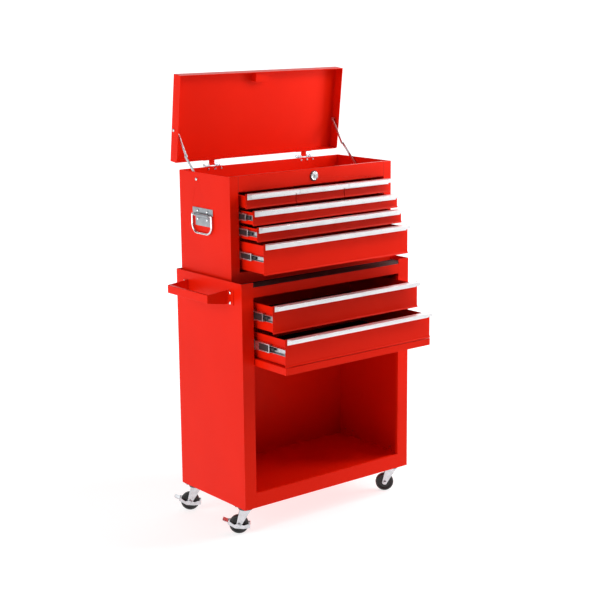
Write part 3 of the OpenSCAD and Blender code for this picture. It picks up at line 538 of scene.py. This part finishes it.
for body in ("stay_lower", "stay_upper"):
    node = body + "_links"
    low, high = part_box(node)
    y, z = jointOf[body + "_pivot"]["pos_m"][1:]
    spots = [((low[0], y, z), (-1, 0, 0)), ((high[0], y, z), (1, 0, 0))]
    headRadius = hardwareSettings["stayHeadRadius"] * mm
    repeatPiece(node + "Heads", domeSource, spots, headRadius, 0.0, materials["zinc"], body)

for corner in ("front_left", "front_right", "rear_left", "rear_right"):
    row = jointOf["wheel_%s_spin" % corner]
    axis, place = Vector(row["axis"]).normalized(), Vector(row["pos_m"])
    spots = [(place + s * axis * hardwareSettings["nutReach"] * mm, s * axis) for s in (-1, 1)]
    repeatPiece("axleNuts_" + corner, nutSource, spots, hardwareSettings["nutRadius"] * mm,
                hardwareSettings["nutTurn"], materials["zinc"], "fork_" + corner, 30)

sleeveSettings = {"from": 33.0, "to": 46.5, "thickness": 3.4, "halfWidth": 7.0, "low": 9.4, "rise": 5.2,
                  "round": 0.8}
sectionCorners = ((-1, -1), (1, -1), (1, 1), (-1, 1))
for corner in ("front_left", "rear_left"):
    row = jointOf["wheel_%s_spin" % corner]
    across, place, s = Vector(row["axis"]).normalized(), Vector(row["pos_m"]), sleeveSettings
    along = across.cross(Vector((0, 0, 1)))
    back = -along if along.x > 0 else along
    bm = bmesh.new()
    ends = []
    for reach, height in ((s["from"], s["low"]), (s["to"], s["low"] + s["rise"])):
        section = []
        for w, h in sectionCorners:
            rise = Vector((0, 0, height + h * s["thickness"] / 2))
            section.append(bm.verts.new(place + (back * reach + across * w * s["halfWidth"] + rise) * mm))
        ends.append(section)
    for i in range(4):
        bm.faces.new((ends[0][i], ends[0][(i + 1) % 4], ends[1][(i + 1) % 4], ends[1][i]))
    bm.faces.new(ends[0])
    bm.faces.new(ends[1])
    bmesh.ops.bevel(bm, geom=list(bm.edges), offset=s["round"] * mm, segments=2, profile=0.5, affect="EDGES")
    makeObject("brakeSleeve_" + corner, finishMesh(bm, "brakeSleeve_" + corner), blackPlasticAndShadeMaterial, "brake_" + corner)

lockPlace = Vector(jointOf["lock_turn"]["pos_m"])
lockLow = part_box("lock_housing")[0]
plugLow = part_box("lock_plug")[0]
lockSettings = {
    "ringRadius": 10.9, "ringThickness": 1.25, "ringFlat": 0.7, "shadeRingRadius": 14.0, "shadeRingThickness": 1.1,
    "shadeRingFlat": 0.8, "keyWidth": 1.3, "keyHeight": 6.4, "keyDepth": (0.1, 0.9),
}
ringSegments = {"around": 48, "section": 12}


def ringPiece(name, y, radius, thickness, flat, material, body):
    # A ring around the lock's axis at the height y along it
    around, section = ringSegments["around"], ringSegments["section"]
    major, minor = radius * mm, thickness * mm
    bm = bmesh.new()
    loops = []
    for i in range(around):
        a = 2 * math.pi * i / around
        loop = []
        for k in range(section):
            b = 2 * math.pi * k / section
            reach = major + minor * math.cos(b)
            loop.append(bm.verts.new((lockPlace.x + reach * math.cos(a), y + flat * minor * math.sin(b),
                                      lockPlace.z + reach * math.sin(a))))
        loops.append(loop)
    for i in range(around):
        for k in range(section):
            j, m = (i + 1) % around, (k + 1) % section
            bm.faces.new((loops[i][k], loops[j][k], loops[j][m], loops[i][m]))
    return makeObject(name, finishMesh(bm, name), material, body)


ringPiece("lockRing", lockLow[1], lockSettings["ringRadius"], lockSettings["ringThickness"],
          lockSettings["ringFlat"], materials["chrome"], "chest")
# A dark ring outside the chrome ring paints the shaded rim around the lock face
ringPiece("lockWasher", chestLow[1], lockSettings["shadeRingRadius"], lockSettings["shadeRingThickness"],
          lockSettings["shadeRingFlat"], blackPlasticAndShadeMaterial, "chest")
# A black box on the plug face paints the shade inside the keyway
halfKey, halfKeyHeight = lockSettings["keyWidth"] / 2 * mm, lockSettings["keyHeight"] / 2 * mm
keyFront, keyBack = (plugLow[1] + depth * mm for depth in lockSettings["keyDepth"])
boxPiece("lockKeyway", [((lockPlace.x - halfKey, keyFront, lockPlace.z - halfKeyHeight),
                         (lockPlace.x + halfKey, keyBack, lockPlace.z + halfKeyHeight))],
         blackPlasticAndShadeMaterial, "lock_plug")

seamSettings = {
    "width": 0.5, "proud": 0.06, "depth": 0.2, "postWidth": 29.0, "railHeight": 44.0, "topGap": 1.5,
}
seams = []
for side, wall in chestSides:
    x = wall - side * seamSettings["postWidth"] * mm
    halfSeam = seamSettings["width"] / 2 * mm
    seams.append(((x - halfSeam, chestLow[1] - seamSettings["proud"] * mm,
                   chestHigh[2] - seamSettings["railHeight"] * mm),
                  (x + halfSeam, chestLow[1] + seamSettings["depth"] * mm,
                   chestHigh[2] - seamSettings["topGap"] * mm)))
boxPiece("chestSeams", seams, shadowMaterial, "chest")

slotSettings = {"start": 20, "length": 16.0, "width": 3.4, "back": 34.0, "floorHeight": 30, "sunk": 0.3,
                "proud": 0.05}
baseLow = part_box("cabinet_base")[0]
slotZ = shellLow[2] + slotSettings["floorHeight"] * mm
slotStart, slotBack = slotSettings["start"], slotSettings["back"]
slotXs = [shellMiddle + reach * mm for reach in (slotStart, slotStart + slotSettings["length"])]
slotYs = [baseLow[1] + reach * mm for reach in (slotBack, slotBack + slotSettings["width"])]
boxPiece("floorSlot", [((slotXs[0], slotYs[0], slotZ - slotSettings["sunk"] * mm),
                        (slotXs[1], slotYs[1], slotZ + slotSettings["proud"] * mm))], shadowMaterial, "cabinet")
print("stage: hardware fitted")


# Studio

studio = {
    "floorColor": (0.42, 0.42, 0.42), "floorRoughness": 0.9, "floorGlow": 0.74, "backdropGlow": 1.05,
    "glowFrom": 0.3, "glowTo": 2.2, "worldStrength": 0.03, "turn": 38.5,
    "floorFront": -6.0, "bendStart": 4.0, "bendRadius": 2.0, "backdropTop": 9.0, "halfWidth": 12,
}
middleOfObject = (0, 0, 0.6)
# name: (place, what it points at, width and height, watts)
lights = {
    "keyLight": ((1.95, -0.95, 1.4), middleOfObject, (0.8, 1.2), 38.0),
    "lidLight": ((0.7, -0.75, 1.95), (0.1, 0.22, 1.16), (0.5, 0.5), 9.0),
    "sideLight": ((-2.5, 0.2, 1.2), middleOfObject, (1.8, 2.2), 42.0),
    "topLight": ((-0.4, -0.6, 3.0), middleOfObject, (1.6, 1.6), 4.0),
}


def areaLight(name, position, target, size, power):
    data = bpy.data.lights.new(name, "AREA")
    data.shape = "RECTANGLE"
    data.size, data.size_y = size
    data.energy = power
    obj = bpy.data.objects.new(name, data)
    obj.location = position
    obj.rotation_euler = (Vector(target) - Vector(position)).to_track_quat("-Z", "Y").to_euler()
    bpy.context.scene.collection.objects.link(obj)


floorMaterial, floorTree, floorShader, floorCoords = newMaterial("studioFloor")
floorShader.inputs["Base Color"].default_value = (*studio["floorColor"], 1)
floorShader.inputs["Roughness"].default_value = studio["floorRoughness"]
floorShader.inputs["Emission Color"].default_value = (1, 1, 1, 1)
# The glow grows from the floor around the object to the backdrop behind it
glowMapping = floorTree.nodes.new("ShaderNodeMapping")
glowMapping.vector_type = "POINT"
glowMapping.inputs["Rotation"].default_value = (0, 0, math.radians(studio["turn"]))
glowSplit = floorTree.nodes.new("ShaderNodeSeparateXYZ")
floorTree.links.new(floorCoords.outputs["Object"], glowMapping.inputs["Vector"])
floorTree.links.new(glowMapping.outputs["Vector"], glowSplit.inputs["Vector"])
glow = mapRange(floorTree, glowSplit.outputs["Y"], studio["floorGlow"], studio["backdropGlow"],
                studio["glowFrom"], studio["glowTo"])
floorTree.links.new(glow, floorShader.inputs["Emission Strength"])
# The floor curves up into a backdrop behind the object
bendStart, bendRadius, halfWidth = studio["bendStart"], studio["bendRadius"], studio["halfWidth"]
profile = [(studio["floorFront"], 0.0), (bendStart, 0.0)]
for a in range(10, 91, 10):
    profile.append((bendStart + bendRadius * math.sin(math.radians(a)),
                    bendRadius - bendRadius * math.cos(math.radians(a))))
profile.append((bendStart + bendRadius, studio["backdropTop"]))
turned = Matrix.Rotation(math.radians(-studio["turn"]), 4, "Z")
floorMesh = bpy.data.meshes.new("studioFloor")
floorMesh.from_pydata([turned @ Vector((x, y, z)) for y, z in profile for x in (-halfWidth, halfWidth)], [],
                      [(2 * i, 2 * i + 1, 2 * i + 3, 2 * i + 2) for i in range(len(profile) - 1)])
floorMesh.shade_smooth()
floorMesh.materials.append(floorMaterial)
floorObject = bpy.data.objects.new("studioFloor", floorMesh)
bpy.context.scene.collection.objects.link(floorObject)

world = bpy.data.worlds.new("studioWorld")
bpy.context.scene.world = world
world.use_nodes = True
world.node_tree.nodes["Background"].inputs["Color"].default_value = (1, 1, 1, 1)
world.node_tree.nodes["Background"].inputs["Strength"].default_value = studio["worldStrength"]
for name, (position, target, size, power) in lights.items():
    areaLight(name, position, target, size, power)

cameraSettings = {"position": (-2.4444, -3.07778, 1.4802), "yaw": 38.517, "pitch": 12.081, "roll": -0.540,
                  "lens": 82.79}


def addCamera(s):
    yaw, pitch, roll = (math.radians(s[k]) for k in ("yaw", "pitch", "roll"))
    ahead = Vector((math.sin(yaw) * math.cos(pitch), math.cos(yaw) * math.cos(pitch), -math.sin(pitch)))
    right = Vector((math.cos(yaw), -math.sin(yaw), 0))
    up = right.cross(ahead)
    turnedRight = math.cos(roll) * right + math.sin(roll) * up
    turnedUp = -math.sin(roll) * right + math.cos(roll) * up
    data = bpy.data.cameras.new("camera")
    data.sensor_width = 36
    data.lens = s["lens"]
    camera = bpy.data.objects.new("camera", data)
    basis = Matrix((turnedRight, turnedUp, -ahead)).transposed().to_4x4()
    camera.matrix_world = Matrix.Translation(s["position"]) @ basis
    bpy.context.scene.collection.objects.link(camera)
    bpy.context.scene.camera = camera


addCamera(cameraSettings)
bpy.context.scene.view_settings.view_transform = "Standard"
print("stage: studio ready")
